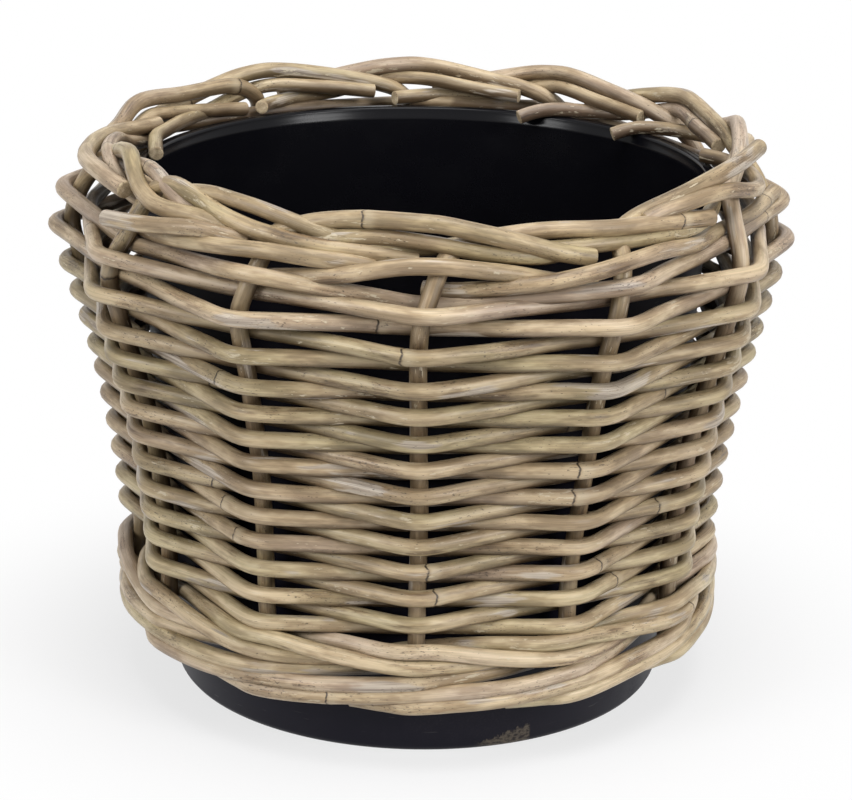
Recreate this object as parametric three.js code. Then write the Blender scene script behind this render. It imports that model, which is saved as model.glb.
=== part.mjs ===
// Round rattan planter: thick grey cane woven round a black plastic pot.
// Millimetres, +Z up, origin on the floor at the middle of the pot's base.
// Turn 0 looks along -Y, and turns are counted in stake spacings, anticlockwise from above.
import * as THREE from "three";

// Pot: a tapered plastic liner with a turned-out lip
const potHeight = 277;
const potBaseRadius = 133;
const potTopRadius = 153;
const potWall = 2.6;
const potFloor = 3.2;
const potFootBevel = 3;
const lipOverhang = 5;
const lipDepth = 7;
const lipRounding = 2;
const potFacets = 40;

// Cane
const stakeRadius = 4.2;
const weaverRadius = 3.6;
const followerRadius = 3.3;
const clearance = 0.3;
const caneSides = 6;

// Wall: upright stakes, nearly straight below, leaning out to a shoulder, then drawn in
const stakeCount = 12;
const potPlay = 2.4;
const flareStart = 80;
const shoulderPlay = 26.3;
const flarePower = 1.5;
const shoulderDepth = 27;
const drawIn = 10;
const leanTurns = 0.1;

// Foot border, wale and rows of weaving
const footHeight = 31;
const footTurns = 2;
const footTuck = 2.2;
const waleSlack = 0.6;
const rowSlack = 0.2;
const looseTurns = 3.5;
const strandWeaverCount = 6;
const joinGap = 1;
const cornerDepth = 2.8;
const cornerShare = 0.15;

// Top border
const borderPlay = 4.8;
const passRise = 0.5;
const strokeDrop = 14;
const strokePlay = 0.4;
const strokeTurns = 1.97;
const tailTurns = 2.55;
const tailReach = 2.4;

// Values that follow from the sizes above
const spacing = (2 * Math.PI) / stakeCount;
const caneStep = 2 * weaverRadius + clearance;
const weaveOffset = stakeRadius + weaverRadius + clearance;
const borderLayer = 2 * stakeRadius + clearance;
const strokeStep = stakeRadius + followerRadius + clearance;
const mouthRadius = potTopRadius - potWall;
const lipRadius = potTopRadius + lipOverhang;
const tailRadius = mouthRadius - tailReach;
const tailHeight = potHeight + clearance + followerRadius;
const passHeight = tailHeight + passRise;
const topRowHeight = passHeight - weaverRadius - followerRadius - clearance;
const crestRise = strokeDrop + strokeStep / 2 + strokePlay;
const borderRadius = lipRadius + borderPlay + stakeRadius;
const wallRadius = potRadius(flareStart) + potPlay + weaverRadius + weaveOffset;
const shoulderRadius = lipRadius + shoulderPlay + stakeRadius;
const flare = shoulderRadius - wallRadius;
const shoulderHeight = topRowHeight - shoulderDepth;
const footStart = footHeight + weaverRadius;
const footEnd = footStart + footTurns * caneStep;
const waleRise = caneStep / 2 + waleSlack;
const waleHeight = footEnd + footTuck + caneStep + waleRise;
const stakeBottom = footStart + weaverRadius + clearance;
const firstRowHeight = waleHeight + waleRise + caneStep;
const endShare = joinGap / (2 * spacing * wallRadius);

// Two sets of rows lie in turn: one in front of the even stakes, one in front of the odd ones
const rowPair = 2 * (2 * weaverRadius + rowSlack);
const rowSteps = 2 * Math.floor((topRowHeight - firstRowHeight) / rowPair - 0.5) + 1;
const topTurn = rowSteps / 2;
const loosening = (topRowHeight - firstRowHeight - rowPair * topTurn) / looseTurns ** 2;

const greyCane = new THREE.MeshStandardMaterial({ color: 0x9a8c74, roughness: 0.62, metalness: 0 });
const paleCane = new THREE.MeshStandardMaterial({ color: 0xa99a80, roughness: 0.6, metalness: 0 });
const greenCane = new THREE.MeshStandardMaterial({ color: 0x8e866a, roughness: 0.6, metalness: 0 });
const blackPlastic = new THREE.MeshStandardMaterial({ color: 0x17181c, roughness: 0.3, metalness: 0 });

function potRadius(height) {
  return potBaseRadius + ((potTopRadius - potBaseRadius) * height) / potHeight;
}

function place(turn, radius, height) {
  const angle = turn * spacing;
  return new THREE.Vector3(radius * Math.sin(angle), -radius * Math.cos(angle), height);
}

function smoothStep(share) {
  const s = Math.min(1, Math.max(0, share));
  return s * s * (3 - 2 * s);
}

// A closed cane along a row of centre points, each ring turned so that a corner looks outwards
function caneGeometry(centres, radius) {
  const positions = [];
  const faces = [];
  const last = centres.length - 1;
  centres.forEach((centre, ring) => {
    const before = centres[Math.max(0, ring - 1)];
    const after = centres[Math.min(last, ring + 1)];
    const along = after.clone().sub(before).normalize();
    const outward = new THREE.Vector3(centre.x, centre.y, 0).normalize();
    outward.addScaledVector(along, -outward.dot(along)).normalize();
    const across = along.clone().cross(outward);
    for (let side = 0; side < caneSides; side++) {
      const angle = (2 * Math.PI * side) / caneSides;
      const corner = centre.clone();
      corner.addScaledVector(outward, radius * Math.cos(angle));
      corner.addScaledVector(across, radius * Math.sin(angle));
      positions.push(corner.x, corner.y, corner.z);
    }
  });
  for (let ring = 0; ring < last; ring++) {
    for (let side = 0; side < caneSides; side++) {
      const next = (side + 1) % caneSides;
      const a = ring * caneSides + side;
      const b = ring * caneSides + next;
      faces.push(a, b, b + caneSides, a, b + caneSides, a + caneSides);
    }
  }
  for (let side = 1; side < caneSides - 1; side++) {
    const end = last * caneSides;
    faces.push(0, side + 1, side, end, end + side, end + side + 1);
  }
  const geometry = new THREE.BufferGeometry();
  geometry.setAttribute("position", new THREE.Float32BufferAttribute(positions, 3));
  geometry.setIndex(faces);
  geometry.computeVertexNormals();
  return geometry;
}

function caneMesh(name, geometry, material) {
  const mesh = new THREE.Mesh(geometry, material);
  mesh.name = name;
  return mesh;
}

// One cane shape repeated round the basket, stake by stake
function repeatRound(group, stem, geometry, count, material) {
  for (let copy = 0; copy < count; copy++) {
    const number = String(copy + 1).padStart(2, "0");
    const mesh = caneMesh(`${stem}_${number}`, geometry, material);
    mesh.rotation.z = copy * spacing;
    group.add(mesh);
  }
}

// Stations of a stake's centre line in the wall: height, lean in stake spacings, radius
function wallStations() {
  const stations = [{ height: stakeBottom, lean: 0, radius: wallRadius }];
  for (const share of [0, 0.3, 0.55, 0.78, 1]) {
    const height = flareStart + (shoulderHeight - flareStart) * share;
    stations.push({ height, lean: 0, radius: wallRadius + flare * share ** flarePower });
  }
  for (const share of [0.5, 1]) {
    const height = shoulderHeight + shoulderDepth * share;
    const radius = shoulderRadius - drawIn * share ** 1.5;
    stations.push({ height, lean: leanTurns * share, radius });
  }
  return stations;
}

// Where a stake's centre line runs at a height, and how much its slope widens what lies beside it
function stakeLine(height) {
  const stations = wallStations();
  let upper = 1;
  while (upper < stations.length - 1 && height > stations[upper].height) {
    upper += 1;
  }
  const from = stations[upper - 1];
  const to = stations[upper];
  const rise = to.height - from.height;
  const share = (height - from.height) / rise;
  return {
    lean: from.lean + (to.lean - from.lean) * share,
    radius: from.radius + (to.radius - from.radius) * share,
    widening: Math.hypot(1, (to.radius - from.radius) / rise),
  };
}

// A point on a row beside a stake, out in front of it or in behind it
function besideStake(stake, height, distance) {
  const line = stakeLine(height);
  return place(stake + line.lean, line.radius + distance * line.widening, height);
}

function pot() {
  const lipBottom = potHeight - lipDepth;
  const profile = [
    [0, 0],
    [potBaseRadius - potFootBevel, 0],
    [potRadius(potFootBevel), potFootBevel],
    [potRadius(lipBottom), lipBottom],
    [lipRadius, lipBottom],
    [lipRadius, potHeight - lipRounding],
    [lipRadius - lipRounding, potHeight],
    [mouthRadius, potHeight],
    [potRadius(lipBottom) - potWall, lipBottom],
    [potRadius(potFloor) - potWall, potFloor],
    [0, potFloor],
  ].map(([radius, height]) => new THREE.Vector2(radius, height));
  const geometry = new THREE.LatheGeometry(profile, potFacets);
  geometry.rotateX(Math.PI / 2);
  return caneMesh("pot", geometry, blackPlastic);
}

// A stake stands in the wall, then turns over the next stake and ends outside the one after it.
// Border stations: turn past the stake, layers out from the inner ring, share of the crest's rise.
function stakeGeometry() {
  const centres = wallStations().map(({ height, lean, radius }) => place(lean, radius, height));
  const border = [
    [0.15, 0.52, 0.14],
    [0.28, 0.02, 0.52],
    [0.43, 0, 0.76],
    [0.6, 0.29, 0.88],
    [0.8, 0.74, 0.92],
    [1.02, 1, 0.86],
    [1.28, 1.04, 0.7],
    [1.54, 1.08, 0.54],
    [1.8, 1.33, 0.38],
    [strokeTurns, 1.55, 0.2],
  ];
  for (const [turn, layer, rise] of border) {
    centres.push(place(turn, borderRadius + layer * borderLayer, passHeight + rise * crestRise));
  }
  return caneGeometry(centres, stakeRadius);
}

// A follower lies under its stake's stroke, dives behind the next stake but one, and its tail
// rests on the pot's lip. Stations as for the stake.
function followerGeometry() {
  const stations = [
    [0.32, 0.06, 0.1],
    [0.43, 0.11, 0.27],
    [0.6, 0.23, 0.39],
    [0.8, 0.43, 0.43],
    [0.93, 0.61, 0.41],
    [1.05, 1.13, 0.36],
    [1.22, 1.39, 0.25],
    [1.4, 1.4, 0.12],
    [1.6, 1.2, 0.02],
    [1.8, 0.78, 0],
    [1.93, 0.4, 0],
    [2.05, -0.08, 0],
    [2.17, -0.5, -0.01],
  ];
  const centres = [];
  for (const [turn, layer, rise] of stations) {
    centres.push(place(turn, borderRadius + layer * borderLayer, passHeight + rise * crestRise));
  }
  const dipRadius = (borderRadius + tailRadius) / 2 - clearance;
  centres.push(place(tailTurns - 0.26, dipRadius, (passHeight + tailHeight) / 2));
  centres.push(place(tailTurns, tailRadius, tailHeight));
  return caneGeometry(centres, followerRadius);
}

// A foot cane starts inside, under its stake, and climbs outside over the next stakes
function footCaneGeometry() {
  const outside = wallRadius + weaveOffset;
  const centres = [
    place(-0.42, wallRadius, footStart - 0.1 * caneStep),
    place(-0.2, wallRadius + 0.5 * weaveOffset, footStart - 0.05 * caneStep),
  ];
  for (let third = 0; third <= 3 * footTurns; third++) {
    centres.push(place(third / 3, outside, footStart + (third / 3) * caneStep));
  }
  centres.push(place(footTurns + 0.2, wallRadius + 0.62 * weaveOffset, footEnd + 0.7 * footTuck));
  centres.push(place(footTurns + 0.4, wallRadius + 0.2 * weaveOffset, footEnd + footTuck));
  centres.push(place(footTurns + 0.8, wallRadius - weaveOffset, footEnd + footTuck));
  return caneGeometry(centres, weaverRadius);
}

// A wale cane goes outside two stakes and inside the third, all the way round.
// Stations over three stakes: turn, layer across the stakes, level above or below the middle.
function waleCaneGeometry() {
  const pattern = [
    [0, -1, 0],
    [0.5, 0, 1],
    [0.85, 1, 1],
    [1.12, 1.06, 0.95],
    [1.5, 1.04, 0],
    [1.88, 1.06, -0.95],
    [2.15, 1, -1],
    [2.5, 0, -1],
  ];
  const centres = [];
  const endTurn = joinGap / (spacing * wallRadius);
  for (let first = 0; first < stakeCount; first += 3) {
    for (const [turn, layer, level] of pattern) {
      const start = first + turn === 0 ? endTurn : 0;
      const radius = wallRadius + layer * weaveOffset;
      centres.push(place(first + turn + start, radius, waleHeight + level * waleRise));
    }
  }
  centres.push(place(stakeCount - endTurn, wallRadius - weaveOffset, waleHeight));
  return caneGeometry(centres, weaverRadius);
}

// Height of a row after some turns: level across the front, one pair of rows up across the back
function rowHeight(stake, offset) {
  const turns = stake / stakeCount + 0.25;
  const whole = Math.floor(turns);
  const climbed = whole + offset + smoothStep((turns - whole - 0.5) * 2);
  const loose = Math.max(0, climbed - (topTurn - looseTurns));
  return firstRowHeight + rowPair * climbed + loosening * loose ** 2;
}

// A weaver runs from behind one stake to behind another, passing in front of every second one.
// It keeps straight behind a stake and takes its whole bend, an eased corner, in front of the next.
function weaverGeometry(firstStake, lastStake, offset) {
  const behind = (stake) => besideStake(stake, rowHeight(stake, offset), -weaveOffset);
  const centres = [behind(firstStake).lerp(behind(firstStake + 2), endShare)];
  for (let stake = firstStake + 1; stake < lastStake; stake += 2) {
    const height = rowHeight(stake, offset);
    const corner = besideStake(stake, height, weaveOffset + cornerDepth);
    centres.push(corner.clone().lerp(behind(stake - 1), cornerShare));
    centres.push(besideStake(stake, height, weaveOffset));
    centres.push(corner.clone().lerp(behind(stake + 1), cornerShare));
    centres.push(behind(stake + 1));
  }
  centres.push(centres.pop().lerp(behind(lastStake - 2), endShare));
  return caneGeometry(centres, weaverRadius);
}

// A strand is one set of rows, made of weavers laid end to end behind the stakes
function addStrand(group, firstStake, lastStake, offset, materials) {
  const weaverStakes = 2 * Math.ceil((lastStake - firstStake) / (2 * strandWeaverCount));
  for (let start = firstStake; start < lastStake; start += weaverStakes) {
    const end = Math.min(start + weaverStakes, lastStake);
    const number = String(group.children.length + 1).padStart(2, "0");
    const material = materials[group.children.length % materials.length];
    group.add(caneMesh(`weaver_${number}`, weaverGeometry(start, end, offset), material));
  }
}

const frontHalf = stakeCount / 4;
const topRowStake = (topTurn - 0.5) * stakeCount;

const stakes = new THREE.Group();
repeatRound(stakes, "stake", stakeGeometry(), stakeCount, greyCane);

const weaving = new THREE.Group();
addStrand(weaving, 1 - frontHalf, topRowStake + 2 * frontHalf, 0, [paleCane, greyCane, greenCane]);
addStrand(weaving, -frontHalf, topRowStake + frontHalf, 0.5, [greyCane, greenCane, paleCane]);

const wale = new THREE.Group();
repeatRound(wale, "wale_cane", waleCaneGeometry(), 3, paleCane);

const foot = new THREE.Group();
repeatRound(foot, "foot_cane", footCaneGeometry(), stakeCount, paleCane);

const border = new THREE.Group();
repeatRound(border, "follower", followerGeometry(), stakeCount, greenCane);

const planter = new THREE.Group();
planter.add(pot(), stakes, weaving, wale, foot, border);

export default planter;
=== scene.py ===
"""A round rattan planter: thick greyed cane woven round a black plastic pot."""
import math
import random

import bmesh
import bpy
import numpy as np
from mathutils import Matrix, Vector, noise


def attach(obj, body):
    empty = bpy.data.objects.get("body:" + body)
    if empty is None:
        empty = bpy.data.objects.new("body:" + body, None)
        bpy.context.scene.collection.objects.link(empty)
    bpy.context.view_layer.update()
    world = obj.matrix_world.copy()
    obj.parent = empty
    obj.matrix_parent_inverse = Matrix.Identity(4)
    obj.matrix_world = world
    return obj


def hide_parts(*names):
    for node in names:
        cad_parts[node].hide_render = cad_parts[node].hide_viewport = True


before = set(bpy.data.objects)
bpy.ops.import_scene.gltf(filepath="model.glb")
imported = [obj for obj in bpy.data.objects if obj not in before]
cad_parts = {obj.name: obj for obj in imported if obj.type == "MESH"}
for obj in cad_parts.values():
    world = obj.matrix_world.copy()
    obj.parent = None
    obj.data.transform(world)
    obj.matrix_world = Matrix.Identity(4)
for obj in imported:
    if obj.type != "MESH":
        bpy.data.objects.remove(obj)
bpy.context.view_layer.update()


def add_object(name, data):
    added = bpy.data.objects.new(name, data)
    bpy.context.scene.collection.objects.link(added)
    return added


# Camera: about 1.5 m away and 18.5 degrees down, turned a little as in the photo

LENS = 124.7
SENSOR_WIDTH = 36
CAMERA_SPOT = (0.0029, -1.529, 0.661)
CAMERA_TILT = 90 - 18.54
CAMERA_ROLL = 0.93


def aim_camera():
    data = bpy.data.cameras.new("photo_camera")
    data.lens = LENS
    data.sensor_width = SENSOR_WIDTH
    camera = add_object("photo_camera", data)
    camera.matrix_world = (
        Matrix.Translation(CAMERA_SPOT)
        @ Matrix.Rotation(math.radians(CAMERA_TILT), 4, "X")
        @ Matrix.Rotation(math.radians(CAMERA_ROLL), 4, "Z")
    )
    bpy.context.scene.camera = camera


aim_camera()


# Sizes of the planter in millimetres. Routes are worked out in millimetres and
# become metres when a mesh is made.

METRE = 0.001
STAKES = 12
SPACING = 2 * math.pi / STAKES

POT_HEIGHT = 277.0
POT_BASE = 133.0
POT_TOP = 153.0
POT_WALL = 2.6
POT_FLOOR = 3.2
LIP_OVERHANG = 5.0
LIP_DEPTH = 7.0

# Radii of the solids' canes, which set the places of all canes
STAKE = 4.2
WEAVER = 3.6
FOLLOWER = 3.3
GAP = 0.3
# Radii of the canes that are shown, thicker as in the photo
SHOWN_STAKE = 4.5
SHOWN_CUT_STROKE = 4.6
SHOWN_WEAVER = 4.25
SHOWN_FOLLOWER = 4.0
SHOWN_LOW_CANE = 4.2

CANE_STEP = 2 * WEAVER + GAP
WEAVE_OFFSET = STAKE + WEAVER + GAP
LAYER = 2 * STAKE + GAP
STROKE_STEP = STAKE + FOLLOWER + GAP
MOUTH = POT_TOP - POT_WALL
LIP = POT_TOP + LIP_OVERHANG
TAIL_REACH = 2.4
PASS_RISE = 0.5
STROKE_DROP = 14
STROKE_PLAY = 0.4
BORDER_PLAY = 4.8
TAIL_RADIUS = MOUTH - TAIL_REACH
TAIL_HEIGHT = POT_HEIGHT + GAP + FOLLOWER
PASS_HEIGHT = TAIL_HEIGHT + PASS_RISE
TOP_ROW = PASS_HEIGHT - WEAVER - FOLLOWER - GAP
CREST_RISE = STROKE_DROP + STROKE_STEP / 2 + STROKE_PLAY
BORDER_RADIUS = LIP + BORDER_PLAY + STAKE
POT_PLAY = 2.4
SHOULDER_PLAY = 26.3
FLARE_START = 80.0
FLARE_POWER = 1.5
SHOULDER_DEPTH = 27.0
DRAW_IN = 10.0
LEAN_TURNS = 0.1


def pot_radius(height):
    return POT_BASE + (POT_TOP - POT_BASE) * height / POT_HEIGHT


WALL_RADIUS = pot_radius(FLARE_START) + POT_PLAY + WEAVER + WEAVE_OFFSET
SHOULDER_RADIUS = LIP + SHOULDER_PLAY + STAKE
SHOULDER_HEIGHT = TOP_ROW - SHOULDER_DEPTH
FOOT_HEIGHT = 31
FOOT_TURNS = 2
FOOT_START = FOOT_HEIGHT + WEAVER
FOOT_END = FOOT_START + FOOT_TURNS * CANE_STEP
FOOT_TUCK = 2.2
# How far the foot canes are shown above the solids' ones, at their lower and upper ends
FOOT_LIFT = 3.0
FOOT_TOP_LIFT = 1.0
WALE_SLACK = 0.6
ROW_SLACK = 0.2
WALE_RISE = CANE_STEP / 2 + WALE_SLACK
WALE_HEIGHT = FOOT_END + FOOT_TUCK + CANE_STEP + WALE_RISE
STAKE_BOTTOM = FOOT_START + WEAVER + GAP
FIRST_ROW = WALE_HEIGHT + WALE_RISE + CANE_STEP
ROW_PAIR = 2 * (2 * WEAVER + ROW_SLACK)
ROW_STEPS = 2 * math.floor((TOP_ROW - FIRST_ROW) / ROW_PAIR - 0.5) + 1
TOP_TURN = ROW_STEPS / 2
LOOSE_TURNS = 3.5
LOOSENING = (TOP_ROW - FIRST_ROW - ROW_PAIR * TOP_TURN) / LOOSE_TURNS**2
# The gap of a millimetre at the ends of the wale canes, in stake spacings
END_GAP = 1 / (SPACING * WALL_RADIUS)

CANE_SIDES = 14
STAKE_SIDES = 16
POT_FACETS = 144
ROUTE_STEP = 3.6
ROW_ROUTE_STEP = 3.8
KNOT_POINTS = 14

# First number of the random draws for each kind of cane
ROW_SEED = 100
TOP_ROW_SEED = 131
STAKE_SEED = 200
CUT_STROKE_SEED = 240
FOLLOWER_SEED = 300
WALE_SEED = 400
FOOT_SEED = 500


def place(turn, radius, height):
    """A point counted in stake spacings, anticlockwise from the side that faces the camera"""
    angle = turn * SPACING
    return np.array((radius * math.sin(angle), -radius * math.cos(angle), height))


def smooth_step(share):
    s = min(1.0, max(0.0, share))
    return s * s * (3 - 2 * s)


# Routes


def even_steps(dense, step):
    """The same line again with its points the same distance apart"""
    runs = np.linalg.norm(np.diff(dense, axis=0), axis=1)
    along = np.concatenate(([0.0], np.cumsum(runs)))
    count = max(4, round(along[-1] / step)) + 1
    even = np.linspace(0, along[-1], count)
    return np.column_stack([np.interp(even, along, dense[:, axis]) for axis in range(3)])


def through(points):
    """A smooth line through the points"""
    knots = np.array(points)
    knots = np.vstack((2 * knots[0] - knots[1], knots, 2 * knots[-1] - knots[-2]))
    share = np.linspace(0, 1, KNOT_POINTS, endpoint=False)[:, None]
    parts = []
    for i in range(1, len(knots) - 2):
        a, b, c, d = knots[i - 1 : i + 3]
        parts.append(
            0.5
            * (
                2 * b
                + (c - a) * share
                + (2 * a - 5 * b + 4 * c - d) * share**2
                + (3 * b - a - 3 * c + d) * share**3
            )
        )
    parts.append(knots[-2][None])
    return even_steps(np.vstack(parts), ROUTE_STEP)


def kinked(points, bend_length, step=ROUTE_STEP):
    """Straight runs between the points, with each corner eased over a short length"""
    knots = np.array(points)
    fine = even_steps(np.vstack((2 * knots[0] - knots[1], knots, 2 * knots[-1] - knots[-2])), 1.0)
    reach = np.arange(-3 * bend_length, 3 * bend_length + 1)
    weights = np.exp(-0.5 * (reach / bend_length) ** 2)
    weights /= weights.sum()
    eased = np.column_stack([np.convolve(fine[:, axis], weights, mode="valid") for axis in range(3)])
    first = int(np.linalg.norm(eased - knots[0], axis=1)[: len(eased) // 3].argmin())
    last = int(np.linalg.norm(eased - knots[-1], axis=1)[len(eased) // 2 :].argmin()) + len(eased) // 2
    return even_steps(eased[first : last + 1], step)


# Without a seed of its own this noise starts from the clock, and each run gives other shapes
NOISE_SEED = 12
noise.seed_set(NOISE_SEED)
# Length and size in millimetres of the two waves of unevenness
WIDE_WAVE, WIDE_SHIFT = 95, 2.2
NEAR_WAVE, NEAR_SHIFT = 38, 0.7


def hand_worked(route):
    """The unevenness of work by hand, in which neighbouring canes move together"""
    moved = route.copy()
    for i, point in enumerate(route):
        spot = Vector(point)
        wide = noise.noise_vector(spot / WIDE_WAVE + Vector((3.1, 7.7, 1.3)))
        near = noise.noise_vector(spot / NEAR_WAVE + Vector((9.2, 0.4, 5.6)))
        moved[i] += WIDE_SHIFT * np.array(wide) + NEAR_SHIFT * np.array(near)
    return moved


# The line of a stake in the wall

LINE_POINTS = 120


def softened(values):
    """The same values after two rounds of averaging each with its neighbours"""
    for _ in range(2):
        middle = [(a + b + c) / 3 for a, b, c in zip(values, values[1:], values[2:])]
        values = [values[0]] + middle + [values[-1]]
    return np.array(values)


def wall_line():
    """Heights, radii and leans of a stake's middle, close enough together to read between them"""
    heights = np.linspace(STAKE_BOTTOM, TOP_ROW, LINE_POINTS)
    radii, leans = [], []
    for height in heights:
        if height < SHOULDER_HEIGHT:
            share = max(0.0, (height - FLARE_START) / (SHOULDER_HEIGHT - FLARE_START))
            radii.append(WALL_RADIUS + (SHOULDER_RADIUS - WALL_RADIUS) * share**FLARE_POWER)
            leans.append(0.0)
        else:
            share = (height - SHOULDER_HEIGHT) / SHOULDER_DEPTH
            radii.append(SHOULDER_RADIUS - DRAW_IN * share**FLARE_POWER)
            leans.append(LEAN_TURNS * share)
    return heights, softened(radii), softened(leans)


LINE_HEIGHTS, LINE_RADII, LINE_LEANS = wall_line()
LINE_SLOPES = np.gradient(LINE_RADII, LINE_HEIGHTS)

# Some stakes stand to one side of their even places at the shoulder, by this many stake spacings
STAKE_SHIFTS = {-2: 0.09, -1: 0.06, 2: -0.07}
SHIFT_LENGTH = 110


def unit_of(stake):
    """A stake's number counted from the front one, -5 to 6"""
    return (stake + 5) % STAKES - 5


def stake_line(stake, height):
    """Radius and lean of a stake's middle at a height, and how much the slope there widens a sideways step"""
    radius = np.interp(height, LINE_HEIGHTS, LINE_RADII)
    lean = np.interp(height, LINE_HEIGHTS, LINE_LEANS)
    slope = np.interp(height, LINE_HEIGHTS, LINE_SLOPES)
    lean += STAKE_SHIFTS.get(unit_of(stake), 0.0) * smooth_step((height - FLARE_START) / SHIFT_LENGTH)
    return radius, lean, math.hypot(1, slope)


def row_height(stake, offset):
    """Level across the front, and one pair of rows up across the back"""
    turns = stake / STAKES + 0.25
    whole = math.floor(turns)
    climbed = whole + offset + smooth_step((turns - whole - 0.5) * 2)
    loose = max(0.0, climbed - (TOP_TURN - LOOSE_TURNS))
    return FIRST_ROW + ROW_PAIR * climbed + LOOSENING * loose**2


def wall_radius(height):
    """Radius of the stakes' middles at a height; above the rows, the radius that leaves a cane as it is"""
    if height > TOP_ROW + 2:
        return BORDER_RADIUS
    return float(np.interp(height, LINE_HEIGHTS, LINE_RADII))


# Canes

# A cane's radius wanders by this share over this length, and swells by this share near a growth node
WANDER_SHARE, WANDER_LENGTH = 0.055, 70
NODE_SHARE, NODE_LENGTH = 0.05, 4.5
# The rounding of a cut end, in metres
CUT_INSET, CUT_RISE = 0.0007, 0.0004
# Painted shade: stakes are darker below this height, where the rows cover them
STAKE_SHADE_TOP = TOP_ROW - 8


def growth_nodes(length, rng):
    """Places along a cane where a leaf once grew"""
    places = []
    spot = rng.uniform(20, 520)
    while spot < length:
        places.append(spot)
        spot += rng.uniform(260, 620)
    return places or [-500.0]


def cane(name, slot_node, route, radius, seed, tone, hue=None, sides=CANE_SIDES, stake_shade=0.0):
    """A round cane rolled from a grid along its route, with closed cut ends"""
    rng = random.Random(seed)
    steps = np.linalg.norm(np.diff(route, axis=0), axis=1)
    along = np.concatenate(([0.0], np.cumsum(steps)))
    rings = len(route)
    tangents = np.gradient(route, axis=0)
    tangents /= np.linalg.norm(tangents, axis=1)[:, None]
    outward = np.column_stack((route[:, 0], route[:, 1], np.zeros(rings)))
    outward /= np.linalg.norm(outward, axis=1)[:, None]
    outward -= tangents * np.sum(outward * tangents, axis=1)[:, None]
    outward /= np.linalg.norm(outward, axis=1)[:, None]
    across = np.cross(tangents, outward)

    places = np.array(growth_nodes(along[-1], rng))
    distance = along[:, None] - places[None, :]
    nearest = distance[np.arange(rings), np.abs(distance).argmin(axis=1)]
    phase = rng.uniform(0, 900)
    wander = np.array([noise.noise(Vector((s / WANDER_LENGTH, phase, 0.0))) for s in along])
    swollen = np.exp(-((nearest / NODE_LENGTH) ** 2))
    thickness = radius * (1 + WANDER_SHARE * wander + NODE_SHARE * swollen)
    hue = rng.uniform(0, 1) if hue is None else hue
    ovals = rng.uniform(-0.03, 0.03)

    bm = bmesh.new()
    uv = bm.loops.layers.uv.new("UVMap")
    bmesh.ops.create_grid(bm, x_segments=rings - 1, y_segments=sides, size=1, calc_uvs=True)
    space = bm.verts.layers.float_vector.new("cane_space")
    look = bm.verts.layers.float_vector.new("cane_look")
    # Per-vertex amount of painted light and shade on the cane
    painted_light = bm.verts.layers.float.new("cane_painted_light")
    for vertex in bm.verts:
        ring = round((vertex.co.x + 1) / 2 * (rings - 1))
        angle = (vertex.co.y + 1) * math.pi
        out, side = math.cos(angle), math.sin(angle)
        reach = thickness[ring] * (1 + ovals * out * out)
        facing = out * outward[ring] + side * across[ring]
        vertex.co = METRE * (route[ring] + reach * facing)
        vertex[space] = Vector((along[ring] + 1000 * phase, reach * out, reach * side)) * METRE
        vertex[look] = Vector((tone, hue, nearest[ring] * METRE))
        # Painted light and shade: what faces up, what faces outwards and what stands out from the wall is
        # lighter, and undersides and what lies back in the wall are darker
        proud = (np.hypot(*route[ring, :2]) - wall_radius(route[ring, 2])) / 8
        lit = 0.5 + 0.36 * facing[2] + 0.2 * out + 0.22 * min(1.0, max(-1.0, proud))
        # Stakes also get painted shade low in the wall, where the rows cover them
        vertex[painted_light] = lit - stake_shade * (route[ring, 2] < STAKE_SHADE_TOP)
    bmesh.ops.remove_doubles(bm, verts=bm.verts, dist=1e-5)
    rims = [edge for edge in bm.edges if edge.is_boundary]
    filled = bmesh.ops.holes_fill(bm, edges=rims, sides=0)["faces"]
    bmesh.ops.recalc_face_normals(bm, faces=bm.faces)
    for edge in rims:
        edge.smooth = False
    lip = bmesh.ops.inset_individual(bm, faces=filled, thickness=CUT_INSET, depth=CUT_RISE)["faces"]
    for face in bm.faces:
        face.smooth = True
    for face in filled + lip:
        face.material_index = 1
        for loop in face.loops:
            loop[uv].uv = (0.5, 0.5)
    mesh = bpy.data.meshes.new(name)
    bm.to_mesh(mesh)
    bm.free()
    mesh.materials.append(RATTAN)
    mesh.materials.append(CUT_END)
    piece = add_object(name, mesh)
    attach(piece, "root")
    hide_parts(slot_node)


# Finishes

BUMP_DISTANCE = 0.0004


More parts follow.
